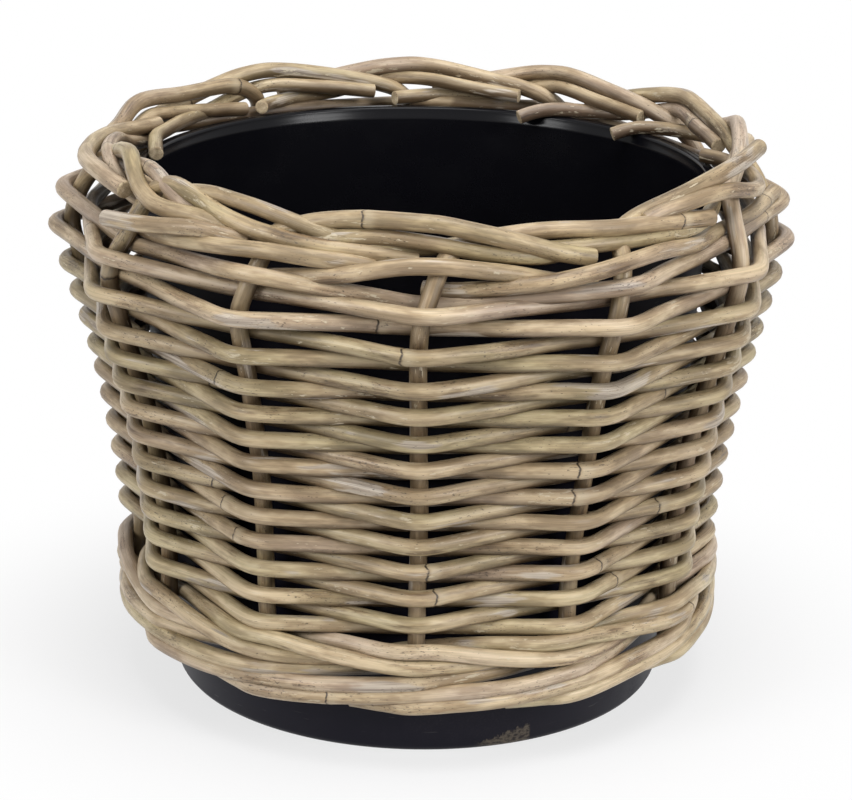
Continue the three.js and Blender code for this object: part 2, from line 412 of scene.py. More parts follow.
class Graph:
    """Short ways to add and join nodes in a material or a node group"""

    def __init__(self, tree):
        self.tree = tree

    def add(self, kind, **settings):
        node = self.tree.nodes.new(kind)
        for key, value in settings.items():
            setattr(node, key, value)
        return node

    def join(self, source, target):
        self.tree.links.new(source, target)

    def feed(self, socket, value):
        if isinstance(value, bpy.types.NodeSocket):
            self.join(value, socket)
        else:
            socket.default_value = value

    def math(self, operation, a, b=0.0, c=0.0, clamp=False):
        node = self.add("ShaderNodeMath", operation=operation, use_clamp=clamp)
        for socket, value in zip(node.inputs, (a, b, c)):
            self.feed(socket, value)
        return node.outputs[0]

    def scaled(self, vector, scale):
        node = self.add("ShaderNodeVectorMath", operation="MULTIPLY")
        self.feed(node.inputs[0], vector)
        self.feed(node.inputs[1], scale)
        return node.outputs[0]

    def noise(self, vector, scales, detail=2.0, roughness=0.5):
        """Noise with so many waves per metre along each axis"""
        stretched = self.scaled(vector, scales)
        node = self.add("ShaderNodeTexNoise")
        self.join(stretched, node.inputs["Vector"])
        self.feed(node.inputs["Scale"], 1.0)
        self.feed(node.inputs["Detail"], detail)
        self.feed(node.inputs["Roughness"], roughness)
        return node.outputs["Fac"]

    def spread(self, value, low, high, to_low=0.0, to_high=1.0):
        node = self.add("ShaderNodeMapRange", interpolation_type="SMOOTHSTEP")
        for socket, number in zip(node.inputs, (value, low, high, to_low, to_high)):
            self.feed(socket, number)
        return node.outputs["Result"]

    def mix(self, share, a, b, blend="MIX"):
        node = self.add("ShaderNodeMix", data_type="RGBA", blend_type=blend, clamp_factor=True)
        self.feed(node.inputs[0], share)
        self.feed(node.inputs[6], a)
        self.feed(node.inputs[7], b)
        return node.outputs[2]

    def mix_shaders(self, share, first, second):
        node = self.add("ShaderNodeMixShader")
        for socket, source in zip(node.inputs, (share, first, second)):
            self.join(source, socket)
        return node.outputs[0]

    def direct_rays(self):
        """1 for what is seen by the camera, in a reflection or through something clear"""
        seen = self.add("ShaderNodeLightPath").outputs
        rays = self.math("MAXIMUM", seen["Is Camera Ray"], seen["Is Glossy Ray"])
        return self.math("MAXIMUM", rays, seen["Is Transmission Ray"])

    def bump(self, shader, height, strength):
        node = self.add("ShaderNodeBump")
        node.inputs["Strength"].default_value = strength
        node.inputs["Distance"].default_value = BUMP_DISTANCE
        self.join(height, node.inputs["Height"])
        self.join(node.outputs[0], shader.inputs["Normal"])

    def ramp(self, value, stops):
        node = self.add("ShaderNodeValToRGB")
        elements = node.color_ramp.elements
        while len(elements) < len(stops):
            elements.new(0.5)
        for element, (position, colour) in zip(elements, stops):
            element.position = position
            element.color = (*colour, 1)
        self.feed(node.inputs[0], value)
        return node.outputs[0]


def node_group(name, inputs, outputs):
    """A node group with named inputs and outputs"""
    tree = bpy.data.node_groups.new(name, "ShaderNodeTree")
    for label, kind, default in inputs:
        socket = tree.interface.new_socket(label, in_out="INPUT", socket_type=kind)
        if default is not None:
            socket.default_value = default
    for label, kind in outputs:
        tree.interface.new_socket(label, in_out="OUTPUT", socket_type=kind)
    graph = Graph(tree)
    return graph, graph.add("NodeGroupInput").outputs, graph.add("NodeGroupOutput").inputs


VALUE, VECTOR = "NodeSocketFloat", "NodeSocketVector"


def make_grain_group():
    """Fibre streaks, mottling and bark flakes that run along a cane"""
    graph, given, out = node_group(
        "cane_grain",
        [("Space", VECTOR, None), ("Flaking", VALUE, 0.5)],
        [(label, VALUE) for label in ("Streaks", "Mottle", "Flakes", "Specks", "Stain", "Peel", "Height")],
    )
    space = given["Space"]
    fine = graph.noise(space, (35, 2300, 2300), 3.0, 0.6)
    broad = graph.noise(space, (14, 520, 520), 2.0)
    graph.join(graph.spread(graph.math("ADD", fine, broad), 0.7, 1.3), out["Streaks"])
    mottle = graph.noise(space, (38, 170, 170), 3.0, 0.6)
    graph.join(graph.spread(mottle, 0.36, 0.64), out["Mottle"])
    worn = graph.noise(space, (16, 60, 60), 1.0)
    chips = graph.noise(space, (110, 620, 620), 3.0, 0.65)
    amount = graph.math("ADD", chips, graph.math("MULTIPLY", graph.math("SUBTRACT", worn, 0.5), 0.55))
    limit = graph.math("SUBTRACT", 0.8, graph.math("MULTIPLY", given["Flaking"], 0.22))
    flakes = graph.spread(graph.math("SUBTRACT", amount, limit), 0.0, 0.035)
    graph.join(flakes, out["Flakes"])
    dirty = graph.noise(space, (24, 90, 90), 1.0)
    dots = graph.noise(space, (420, 1500, 1500), 2.0, 0.6)
    dark = graph.math("ADD", dots, graph.math("MULTIPLY", graph.math("SUBTRACT", dirty, 0.5), 0.4))
    graph.join(graph.spread(dark, 0.665, 0.72), out["Specks"])
    spoilt = graph.noise(space, (21, 130, 130), 4.0, 0.65)
    spoilt = graph.math("ADD", spoilt, graph.math("MULTIPLY_ADD", dirty, 0.5, -0.25))
    graph.join(graph.spread(spoilt, 0.57, 0.72), out["Stain"])
    bare = graph.noise(space, (13, 75, 75), 3.0, 0.6)
    bare = graph.math("ADD", bare, graph.math("MULTIPLY", fine, 0.1))
    graph.join(graph.spread(bare, 0.66, 0.7), out["Peel"])
    height = graph.math("ADD", graph.math("MULTIPLY", fine, 0.6), graph.math("MULTIPLY", broad, 0.5))
    height = graph.math("SUBTRACT", height, graph.math("MULTIPLY", flakes, 0.55))
    graph.join(height, out["Height"])
    return graph.tree


def make_node_ring_group():
    """The dark ring and the pale band at each growth node"""
    graph, given, out = node_group(
        "growth_ring",
        [("Space", VECTOR, None), ("Distance", VALUE, 1.0)],
        [("Dark", VALUE), ("Pale", VALUE), ("Height", VALUE)],
    )
    wave = graph.noise(given["Space"], (0, 260, 260), 1.0)
    shifted = graph.math("ADD", given["Distance"], graph.math("MULTIPLY_ADD", wave, 0.003, -0.0015))
    ring = graph.spread(graph.math("ABSOLUTE", shifted), 0.0002, 0.0008, 1.0, 0.0)
    broken = graph.noise(given["Space"], (150, 700, 700), 2.0)
    graph.join(graph.math("MULTIPLY", ring, graph.spread(broken, 0.3, 0.5, 0.35, 1.0)), out["Dark"])
    fade = graph.spread(shifted, 0.003, 0.008, 1.0, 0.0)
    band = graph.math("MULTIPLY", graph.spread(shifted, 0.0006, 0.0018), fade)
    graph.join(band, out["Pale"])
    graph.join(graph.math("SUBTRACT", graph.math("MULTIPLY", band, 0.5), ring), out["Height"])
    return graph.tree


def make_wear_group():
    """Dust and small scratches on plastic"""
    graph, given, out = node_group(
        "plastic_wear",
        [("Point", VECTOR, None), ("Amount", VALUE, 0.5)],
        [("Dust", VALUE), ("Scratches", VALUE)],
    )
    cloud = graph.noise(given["Point"], (22, 22, 30), 4.0, 0.6)
    grit = graph.noise(given["Point"], (900, 900, 900), 2.0)
    dust = graph.math("MULTIPLY", graph.spread(cloud, 0.4, 0.75), graph.spread(grit, 0.42, 0.75, 0.35, 1.0))
    graph.join(graph.math("MULTIPLY", dust, given["Amount"]), out["Dust"])
    lines = graph.noise(given["Point"], (60, 60, 900), 2.0)
    graph.join(graph.math("MULTIPLY", graph.spread(lines, 0.7, 0.76), given["Amount"]), out["Scratches"])
    return graph.tree


GRAIN = make_grain_group()
NODE_RING = make_node_ring_group()
WEAR = make_wear_group()


def new_material(name):
    material = bpy.data.materials.new(name)
    material.use_nodes = True
    graph = Graph(material.node_tree)
    return material, graph, material.node_tree.nodes["Principled BSDF"]


def use_group(graph, group, **values):
    node = graph.add("ShaderNodeGroup", node_tree=group)
    for key, value in values.items():
        graph.feed(node.inputs[key], value)
    return node.outputs


def cane_attributes(graph):
    space = graph.add("ShaderNodeAttribute", attribute_name="cane_space").outputs["Vector"]
    look = graph.add("ShaderNodeAttribute", attribute_name="cane_look").outputs["Vector"]
    split = graph.add("ShaderNodeSeparateXYZ")
    graph.join(look, split.inputs[0])
    return space, split.outputs[0], split.outputs[1], split.outputs[2]


def make_rattan():
    """Greyed, unpeeled rattan: dull skin, fibres along the cane, pale flakes, dark growth rings, and painted
    light and shade
    """
    material, graph, shader = new_material("greyed_rattan")
    space, tone, hue, distance = cane_attributes(graph)
    painted_light = graph.add("ShaderNodeAttribute", attribute_name="cane_painted_light").outputs["Fac"]
    grain = use_group(graph, GRAIN, Space=space, Flaking=0.5)
    ring = use_group(graph, NODE_RING, Space=space, Distance=distance)
    mottle = graph.math("MULTIPLY", grain["Mottle"], 0.45)
    shade = graph.math("ADD", graph.math("MULTIPLY", tone, 0.55), mottle)
    tan, cool, warm = (
        graph.ramp(shade, list(zip((0.1, 0.5, 0.9), colours)))
        for colours in (
            ((0.17, 0.118, 0.066), (0.33, 0.246, 0.148), (0.5, 0.4, 0.262)),
            ((0.155, 0.12, 0.062), (0.315, 0.252, 0.14), (0.48, 0.405, 0.25)),
            ((0.17, 0.122, 0.088), (0.32, 0.24, 0.172), (0.48, 0.385, 0.295)),
        )
    )
    drift = graph.noise(space, (11, 45, 45), 2.0)
    drift = graph.math("MULTIPLY_ADD", drift, 1.1, -0.325)
    leaning = graph.math("ADD", graph.math("MULTIPLY", hue, 0.55), drift)
    colour = graph.mix(graph.spread(leaning, 0.1, 0.5), cool, tan)
    colour = graph.mix(graph.spread(leaning, 0.5, 0.85), colour, warm)
    streaks = graph.spread(grain["Streaks"], 0.0, 1.0, 0.86, 1.12)
    grey = graph.add("ShaderNodeCombineXYZ")
    for socket in grey.inputs:
        graph.join(streaks, socket)
    colour = graph.mix(1.0, colour, grey.outputs[0], "MULTIPLY")
    # Painted light and shade: lighter on top and outside, darker underneath and where the cane lies back in
    # the wall
    shaded = graph.mix(graph.spread(painted_light, 0.12, 0.74), (0.28, 0.235, 0.2, 1), (1.1, 1.09, 1.07, 1))
    colour = graph.mix(1.0, colour, shaded, "MULTIPLY")
    stained = graph.mix(grain["Streaks"], (0.32, 0.26, 0.22, 1), (0.75, 0.68, 0.62, 1))
    stained = graph.mix(1.0, colour, stained, "MULTIPLY")
    colour = graph.mix(graph.math("MULTIPLY", grain["Stain"], 0.9), colour, stained)
    fibres = graph.mix(grain["Streaks"], (0.2, 0.16, 0.13, 1), (0.54, 0.475, 0.39, 1))
    colour = graph.mix(graph.math("MULTIPLY", grain["Peel"], 0.8), colour, fibres)
    colour = graph.mix(graph.math("MULTIPLY", grain["Flakes"], 0.7), colour, (0.56, 0.49, 0.36, 1))
    colour = graph.mix(graph.math("MULTIPLY", ring["Pale"], 0.35), colour, (0.5, 0.42, 0.29, 1))
    colour = graph.mix(graph.math("MULTIPLY", grain["Specks"], 0.75), colour, (0.05, 0.035, 0.022, 1))
    colour = graph.mix(graph.math("MULTIPLY", ring["Dark"], 0.95), colour, (0.03, 0.02, 0.013, 1))
    graph.join(colour, shader.inputs["Base Color"])
    skin = graph.spread(grain["Streaks"], 0.0, 1.0, 0.5, 0.36)
    rough = graph.math("ADD", skin, graph.math("MULTIPLY", grain["Flakes"], 0.25))
    graph.join(rough, shader.inputs["Roughness"])
    relief = graph.math("ADD", grain["Height"], graph.math("MULTIPLY", ring["Height"], 0.6))
    graph.bump(shader, relief, 0.4)
    shader.inputs["Specular IOR Level"].default_value = 0.45
    return material


def make_cut_end():
    """Sawn cane end: pale fibre full of dark pores"""
    material, graph, shader = new_material("cut_cane")
    space = graph.add("ShaderNodeAttribute", attribute_name="cane_space").outputs["Vector"]
    pores = graph.add("ShaderNodeTexVoronoi", feature="F1")
    graph.join(space, pores.inputs["Vector"])
    pores.inputs["Scale"].default_value = 1500
    holes = graph.spread(pores.outputs["Distance"], 0.18, 0.4, 1.0, 0.0)
    stain = graph.noise(space, (300, 300, 300), 3.0)
    colour = graph.ramp(stain, [(0.3, (0.3, 0.22, 0.13)), (0.6, (0.5, 0.4, 0.26)), (0.8, (0.62, 0.53, 0.38))])
    colour = graph.mix(graph.math("MULTIPLY", holes, 0.6), colour, (0.1, 0.065, 0.04, 1))
    graph.join(colour, shader.inputs["Base Color"])
    shader.inputs["Roughness"].default_value = 0.85
    graph.bump(shader, graph.math("SUBTRACT", stain, holes), 0.6)
    return material


def make_satin_plastic():
    """Outside of the pot: satin blue-black, a little dusty and scuffed"""
    material, graph, shader = new_material("satin_black_plastic")
    point = graph.add("ShaderNodeTexCoord").outputs["Object"]
    wear = use_group(graph, WEAR, Point=point, Amount=0.6)
    dust = graph.math("MULTIPLY", wear["Dust"], 0.3)
    colour = graph.mix(dust, (0.0065, 0.006, 0.012, 1), (0.06, 0.054, 0.06, 1))
    colour = graph.mix(graph.math("MULTIPLY", wear["Scratches"], 0.25), colour, (0.2, 0.19, 0.18, 1))
    # The brown scuff low on the front, a ragged patch from x 30 to 60 mm
    places = graph.add("ShaderNodeSeparateXYZ")
    graph.join(point, places.inputs[0])
    x, y, z = places.outputs
    ragged = graph.noise(point, (210, 210, 60), 5.0, 0.7)
    slope = graph.math("MULTIPLY_ADD", x, 0.2, -0.0085)
    depth = graph.math("SUBTRACT", graph.math("MULTIPLY_ADD", ragged, 0.014, slope), z)
    scuff = graph.math("MULTIPLY", graph.spread(depth, 0.0, 0.0012), graph.spread(x, 0.03, 0.04))
    scuff = graph.math("MULTIPLY", scuff, graph.spread(x, 0.059, 0.0605, 1.0, 0.0))
    scuff = graph.math("MULTIPLY", scuff, graph.math("LESS_THAN", y, 0.0))
    worn = graph.noise(point, (500, 500, 900), 3.0)
    scuff = graph.math("MULTIPLY", scuff, graph.spread(worn, 0.35, 0.6, 0.15, 0.8))
    colour = graph.mix(scuff, colour, (0.15, 0.125, 0.095, 1))
    graph.join(colour, shader.inputs["Base Color"])
    graph.join(graph.math("MULTIPLY_ADD", wear["Dust"], 0.3, 0.42), shader.inputs["Roughness"])
    shader.inputs["Specular IOR Level"].default_value = 0.12
    return material


def make_gloss_plastic():
    """Inside of the pot: glossy black"""
    material, graph, shader = new_material("gloss_black_plastic")
    point = graph.add("ShaderNodeTexCoord").outputs["Object"]
    wear = use_group(graph, WEAR, Point=point, Amount=0.3)
    dust = graph.math("MULTIPLY", wear["Dust"], 0.15)
    colour = graph.mix(dust, (0.0032, 0.0032, 0.0045, 1), (0.04, 0.04, 0.042, 1))
    graph.join(colour, shader.inputs["Base Color"])
    graph.join(graph.math("MULTIPLY_ADD", wear["Dust"], 0.25, 0.2), shader.inputs["Roughness"])
    shader.inputs["Specular IOR Level"].default_value = 0.14
    return material


RATTAN = make_rattan()
CUT_END = make_cut_end()
SATIN = make_satin_plastic()
GLOSS = make_gloss_plastic()


# Pot


def spun(profile):
    """A profile of radii and heights swept round the middle, from a grid so that its order is fixed"""
    bm = bmesh.new()
    bm.loops.layers.uv.new("UVMap")
    bmesh.ops.create_grid(bm, x_segments=len(profile) - 1, y_segments=POT_FACETS, size=1, calc_uvs=True)
    for vertex in bm.verts:
        radius, height = profile[round((vertex.co.x + 1) / 2 * (len(profile) - 1))]
        angle = (vertex.co.y + 1) * math.pi
        vertex.co = METRE * Vector((radius * math.cos(angle), radius * math.sin(angle), height))
    bmesh.ops.remove_doubles(bm, verts=bm.verts, dist=1e-6)
    bmesh.ops.recalc_face_normals(bm, faces=bm.faces)
    return bm


def make_pot():
    lip_bottom = POT_HEIGHT - LIP_DEPTH
    outside = [
        (0, 1.2), (POT_BASE - 9, 1.2), (POT_BASE - 7.5, 0), (POT_BASE - 3.2, 0), (POT_BASE - 1.6, 0.5),
        (POT_BASE - 0.6, 1.7), (pot_radius(3.2), 3.2), (pot_radius(60), 60), (pot_radius(160), 160),
        (pot_radius(lip_bottom - 1), lip_bottom - 1), (pot_radius(lip_bottom) + 0.8, lip_bottom),
        (LIP - 1, lip_bottom), (LIP, lip_bottom + 0.8), (LIP, POT_HEIGHT - 2.2),
        (LIP - 0.7, POT_HEIGHT - 0.7),
        (LIP - 2.2, POT_HEIGHT),
    ]
    inside = [
        (MOUTH + 1.2, POT_HEIGHT), (MOUTH + 0.3, POT_HEIGHT - 0.4), (MOUTH, POT_HEIGHT - 1.4),
        (MOUTH - 0.3, POT_HEIGHT - 4.2), (MOUTH - 0.9, POT_HEIGHT - 5), (MOUTH - 1.1, POT_HEIGHT - 7),
        (pot_radius(240) - POT_WALL, 240), (pot_radius(120) - POT_WALL, 120), (pot_radius(14) - POT_WALL, 14),
        (pot_radius(6) - POT_WALL - 2, 6), (pot_radius(3.2) - POT_WALL - 8, POT_FLOOR), (0, POT_FLOOR),
    ]
    bm = spun(outside + inside)
    for face in bm.faces:
        face.smooth = True
        middle = face.calc_center_median() / METRE
        reach = math.hypot(middle.x, middle.y)
        inner = reach < pot_radius(middle.z) - 1.3 and middle.z > 2 or middle.z > POT_HEIGHT - 2
        face.material_index = 1 if inner else 0
    mesh = bpy.data.meshes.new("pot_shell")
    bm.to_mesh(mesh)
    bm.free()
    mesh.materials.append(SATIN)
    mesh.materials.append(GLOSS)
    piece = add_object("pot_shell", mesh)
    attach(piece, "root")
    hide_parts("pot")


make_pot()


# Rows

# Each strand of rows: its first and last place, counted in stakes, and its height in pairs of rows
STRANDS = ((-2, 150, 0.0), (-3, 147, 0.5))
STRAND_WEAVERS = 6
# The last weaver of the second strand ends early, and canes of its own make up the rest of the top row
TOP_WEAVER = 12
TOP_WEAVER_END = 12 * STAKES - 3
# A cane keeps nearly straight behind a stake and takes its whole bend in front of the next one
CORNER_EASE = 8
CORNER_LOSS = 2.8
BORDER_EASE = 5
ROW_WANDER = 0.8
# Millimetres by which a row lies above or below its even height at a place, for the top rows
ROW_SHIFTS = {
    0.0: {
        117: 1.0, 118: 2.5, 119: 2.5, 120: 1.5, 129: 3.0, 130: 4.0, 131: 3.5, 132: 2.5, 133: 1.5,
        139: 3.0, 140: 3.0, 141: 4.0, 142: -0.8, 143: 5.4, 144: -8.0, 145: 0.5, 148: 3.5, 149: 5.0, 150: 3.5,
    },
    0.5: {
        117: 2.0, 118: 4.0, 119: 2.0, 120: 1.0, 129: 4.5, 130: 7.0, 131: 3.0, 132: 3.0, 133: 1.5,
        135: 2.0, 136: 5.0, 137: 7.0, 138: 8.0, 139: 7.0, 140: 4.0,
    },
}
ROW_TONES = [0.62, 0.5, 0.42, 0.5, 0.46, 0.6, 0.58, 0.44, 0.52, 0.4, 0.5, 0.62]
TOP_ROW_TONE, TOP_ROW_HUE = 0.38, 0.5
# The canes that weaver_12 is shown with: turn, radius and height
TOP_ROW_PIECES = {
    "lead": [
        (-1.86, 191, 278.2), (-1.68, 191, 281), (-1.49, 190, 283), (-1.33, 188, 284.3), (-1.18, 185, 285),
        (-1.01, 178.6, 281.4), (-0.93, 171.5, 279),
    ],
    "under": [
        (-1.9, 170, 271), (-1.66, 176, 273), (-1.35, 182, 276), (-1.12, 185.5, 278.2), (-0.94, 186.3, 278.8),
        (-0.77, 186, 278.9), (-0.61, 185, 278), (-0.46, 182.5, 276.8), (-0.31, 179.5, 274.8),
        (-0.2, 176.5, 271.8),
    ],
    "arch": [
        (-0.82, 177, 263.2), (-0.67, 180, 266), (-0.35, 186, 271.5), (-0.07, 186.5, 277.3),
        (0.13, 186.5, 277.6),
        (0.34, 185, 274.2), (0.5, 181, 270.6), (0.68, 177, 266), (0.97, 171, 260),
    ],
    "rise": [
        (0.0, 173, 262.6), (0.14, 176.5, 262.4), (0.36, 181.5, 264.6), (0.62, 189, 268.4), (0.91, 192, 273),
        (1.21, 188, 275.6), (1.6, 180, 271), (2.0, 170.5, 268), (2.5, 177, 268), (2.92, 186, 270),
    ],
}


def weaver_route(first, last, offset):
    knots = []
    for stake in range(first, last + 1):
        side = 1 if (stake - first) % 2 == 1 else -1
        height = row_height(stake, offset)
        height += ROW_SHIFTS[offset].get(stake, 0.0)
        radius, lean, widening = stake_line(stake, height)
        height += ROW_WANDER * noise.noise(Vector((stake * 0.37, offset * 9, 4.4)))
        reach = WEAVE_OFFSET + CORNER_LOSS if side == 1 else -WEAVE_OFFSET
        knots.append(place(stake + lean, radius + reach * widening, height))
    return kinked(knots, CORNER_EASE, ROW_ROUTE_STEP)


def make_rows():
    number = 0
    for first, last, offset in STRANDS:
        length = 2 * math.ceil((last - first) / (2 * STRAND_WEAVERS))
        for start in range(first, last, length):
            number += 1
            end = min(start + length, last)
            name = f"weaver_{number:02d}"
            if number == TOP_WEAVER:
                end = TOP_WEAVER_END
                for seed, (part, knots) in enumerate(TOP_ROW_PIECES.items(), TOP_ROW_SEED):
                    route = hand_worked(kinked([place(*knot) for knot in knots], BORDER_EASE))
                    cane(f"{name}_{part}_cane", name, route, SHOWN_WEAVER, seed, TOP_ROW_TONE, TOP_ROW_HUE)
            route = hand_worked(weaver_route(start, end, offset))
            cane(f"{name}_cane", name, route, SHOWN_WEAVER, ROW_SEED + number, ROW_TONES[number - 1])


make_rows()


# Stakes with their strokes, and the followers under the strokes

# Places along a cane of the border: turn past its stake, layers out from the inner ring, share of the
# crest's height. Canes of a kind run alike unless they have a run of their own, by number from the front
# stake. The own runs follow the photo and aren't kept clear of their neighbours: canes clip there, and at
# the worst one reaches the middle of another.
STROKE = [
    (0.16, 0.5, 0.12), (0.27, 0.12, 0.33), (0.42, 0.05, 0.5), (0.65, 0.12, 0.68), (0.9, 0.35, 0.9),
    (1.08, 0.7, 0.99), (1.28, 1, 0.88), (1.54, 1.12, 0.6), (1.78, 1.3, 0.3), (1.95, 1.5, 0.08),
]
OWN_STROKES = {
    2: [
        (0.16, 0.5, 0.12), (0.27, 0.12, 0.33), (0.42, 0.05, 0.5), (0.65, 0, 0.72), (0.9, 0, 0.94),
        (1.08, 0.1, 1.03),
        (1.28, 0.4, 0.95), (1.42, 0.68, 0.8), (1.54, 0.85, 0.62), (1.78, 1.05, 0.3), (1.95, 1.25, 0.08),
    ],
    -5: [
        (0.16, 0.5, 0.2), (0.25, 0.45, 0.5), (0.34, 0.5, 0.68), (0.5, 0.6, 0.7), (0.77, 0.7, 0.7),
        (1.05, 0.9, 0.8),
        (1.2, 1.08, 0.8), (1.28, 1.22, 0.58), (1.36, 1.3, 0.28), (1.55, 1.35, 0.08), (1.8, 1.25, -0.05),
        (1.95, 1.15, -0.2),
    ],
    -4: [
        (0.16, -0.3, 0.16), (0.33, 0, 0.2), (0.51, 0.25, 0.27), (0.75, 0.6, 0.39), (0.99, 0.95, 0.48),
        (1.2, 1.25, 0.48), (1.4, 1.38, 0.54), (1.62, 1.4, 0.62), (1.89, 1.35, 0.62), (2.1, 1.2, 0.5),
    ],
    -3: [
        (0.2, 0.3, 0.2), (0.36, -0.1, 0.55), (0.6, -0.4, 0.92), (0.85, -0.3, 1.15), (0.95, -0.05, 1.12),
        (1.02, 0.2, 0.92),
        (1.19, 0.8, 0.64), (1.37, 1.22, 0.44), (1.55, 1.3, 0.4), (1.76, 1.2, 0.38), (1.93, 0.85, 0.14),
        (2.03, 0.4, -0.02),
    ],
    -2: [
        (0.18, 0.4, 0.25), (0.3, 0.05, 0.8), (0.42, 0, 0.94), (0.63, 0.35, 0.8), (0.85, 0.75, 0.5),
        (1.09, 1, 0.24),
        (1.32, 1.05, 0.05), (1.54, 1, -0.06), (1.72, 0.85, -0.12), (1.84, 0.66, -0.18), (1.99, 0.3, -0.3),
    ],
    -1: [
        (0.16, 0.4, 0.15), (0.28, 0.05, 0.38), (0.42, 0, 0.58), (0.6, 0.2, 0.7), (0.88, 0.75, 0.78),
        (1.11, 1, 0.77),
        (1.41, 1.2, 0.38), (1.67, 1.4, -0.02), (1.9, 1.5, -0.27),
    ],
    0: [
        (0.16, 0.45, 0.05), (0.3, 0.1, 0.2), (0.46, 0, 0.3), (0.6, 0.1, 0.38), (0.76, 0.35, 0.42),
        (1.03, 0.9, 0.36),
        (1.3, 1.05, 0.27), (1.74, 1.45, 0.06),
    ],
    1: [
        (0.1, 0.4, 0.1), (0.22, 0.1, 0.35), (0.38, 0.1, 0.52), (0.6, 0.45, 0.76), (0.93, 1, 1.05),
        (1.2, 1.15, 1.15),
        (1.5, 1.3, 1.2),
    ],
}
UNDER_STROKE = [
    (0.36, -0.55, 0.2), (0.55, -0.5, 0.28), (0.8, -0.35, 0.42), (0.95, -0.05, 0.53), (1.08, 0.4, 0.56),
    (1.2, 0.9, 0.52), (1.35, 1.18, 0.36), (1.5, 1.25, 0.14), (1.62, 1.2, 0), (1.8, 0.78, -0.02),
    (1.93, 0.4, 0), (2.05, -0.08, 0), (2.17, -0.5, 0),
]
OWN_UNDER_STROKES = {
    3: [
        (0.36, -0.55, 0.2), (0.55, -0.5, 0.28), (0.8, -0.35, 0.42), (0.95, -0.05, 0.53), (1.08, 0.4, 0.56),
        (1.2, 0.9, 0.5), (1.33, 1.05, 0.34), (1.48, 0.9, 0.12), (1.62, 0.5, 0), (1.76, 0, 0),
        (1.88, -0.6, 0.02),
    ],
    6: [
        (0.36, -0.55, 0.2), (0.55, -0.5, 0.28), (0.8, -0.3, 0.4), (0.95, 0.05, 0.5), (1.08, 0.5, 0.52),
        (1.22, 0.9, 0.4),
        (1.36, 0.9, 0.2), (1.5, 0.6, 0.05), (1.65, 0.2, 0.02), (1.9, -0.35, 0), (2.15, -0.9, 0),
    ],
    -5: [
        (0.3, -0.1, -0.08), (0.64, 0.2, 0.12), (0.95, 0.5, 0.26), (1.1, 0.7, 0.36), (1.18, 0.78, 0.2),
        (1.28, 0.8, 0),
        (1.42, 0.95, -0.14), (1.6, 1.1, -0.1), (1.8, 0.78, -0.05), (1.93, 0.4, 0), (2.05, -0.08, 0),
        (2.17, -0.5, 0),
    ],
    -4: [
        (0.12, 0, -0.28), (0.39, -0.05, -0.2), (0.66, -0.2, 0.08), (0.85, -0.35, 0.4), (1, -0.35, 0.58),
        (1.2, -0.2, 0.72),
        (1.45, 0.1, 0.8), (1.7, 0.4, 0.68), (1.9, 0.45, 0.4), (2.05, 0.1, 0.1), (2.17, -0.5, 0),
    ],
    -3: [
        (0.5, -0.75, 0.45), (0.8, -0.8, 0.76), (1.05, -0.62, 0.97), (1.26, -0.15, 1.0), (1.45, 0.4, 0.75),
        (1.58, 0.6, 0.48),
        (1.8, 0.5, 0.12), (1.93, 0.3, 0), (2.05, -0.08, 0), (2.17, -0.5, 0),
    ],
    -2: [
        (0.36, 0, 0.42), (0.52, 0, 0.8), (0.75, 0, 0.92), (1.05, 0.1, 0.78), (1.29, 0.3, 0.52),
        (1.56, 0.5, 0.2),
        (1.8, 0.5, 0.02), (1.93, 0.3, 0), (2.05, -0.08, 0), (2.17, -0.5, 0),
    ],
    -1: [
        (0.36, 0.25, 0.05), (0.56, 0.6, 0.24), (0.85, 0.75, 0.32), (1.09, 1, 0.24), (1.3, 1.15, 0),
        (1.45, 1.2, -0.12),
        (1.65, 1.1, -0.2), (1.8, 0.78, -0.1), (1.93, 0.4, 0), (2.05, -0.08, 0), (2.17, -0.5, 0),
    ],
    0: [
        (0.4, 0.3, -0.15), (0.74, 0.7, -0.03), (1.02, 1, -0.02), (1.3, 1.1, -0.1), (1.6, 1.1, -0.15),
        (1.8, 0.78, -0.1),
        (1.93, 0.4, 0), (2.05, -0.08, 0), (2.17, -0.5, 0),
    ],
    1: [
        (0.25, 0.7, 0.3), (0.37, 0.9, 0.5), (0.69, 1.25, 0.66), (0.95, 1.5, 0.6), (1.22, 1.65, 0.3),
        (1.45, 1.5, 0.1),
        (1.8, 0.78, 0), (1.93, 0.4, 0), (2.05, -0.08, 0), (2.17, -0.5, 0),
    ],
}


def border_place(turn, layer, rise):
    return place(turn, BORDER_RADIUS + layer * LAYER, PASS_HEIGHT + rise * CREST_RISE)


# The tails of the followers, over the pot's lip: turn past the stake, radius and height
TAIL = [
    (2.29, (BORDER_RADIUS + TAIL_RADIUS) / 2 - GAP, (PASS_HEIGHT + TAIL_HEIGHT) / 2),
    (2.43, MOUTH + 1.2, TAIL_HEIGHT + 0.6), (2.58, TAIL_RADIUS - 4, TAIL_HEIGHT - 2.8),
]
OWN_TAILS = {
    1: [(2.25, 156.5, 281.1), (2.34, 151, 281.4), (2.4, 148, 280)],
    2: [(2.22, 157, 281.3), (2.29, 151.5, 281.4), (2.34, 145, 279.5), (2.41, 137, 275.5)],
    3: [(1.98, 157, 281.8), (2.09, 151.3, 281.6), (2.2, 144, 279.2), (2.3, 137.5, 275.5)],
    4: [(2.26, 158.5, 281.1), (2.32, 156.5, 281.2)],
    5: [(2.24, 156.5, 281.1), (2.31, 152, 281.4)],
    6: [(2.34, 157.5, 281.1), (2.52, 151.6, 281.5), (2.76, 145.5, 279.5)],
}
# The stake whose stroke is a cane of its own, with a cut end that shows inside the rim
CUT_STAKE = -4
CUT_STAKE_END = (0.12, 0.5, 0.05)
STAKE_KNOTS = 9
SHOULDER_KNOT = 13
# How much painted shade darkens the stakes where the rows cover them
STAKE_PAINTED_SHADE = 0.2
FOLLOWER_PALER = 0.04
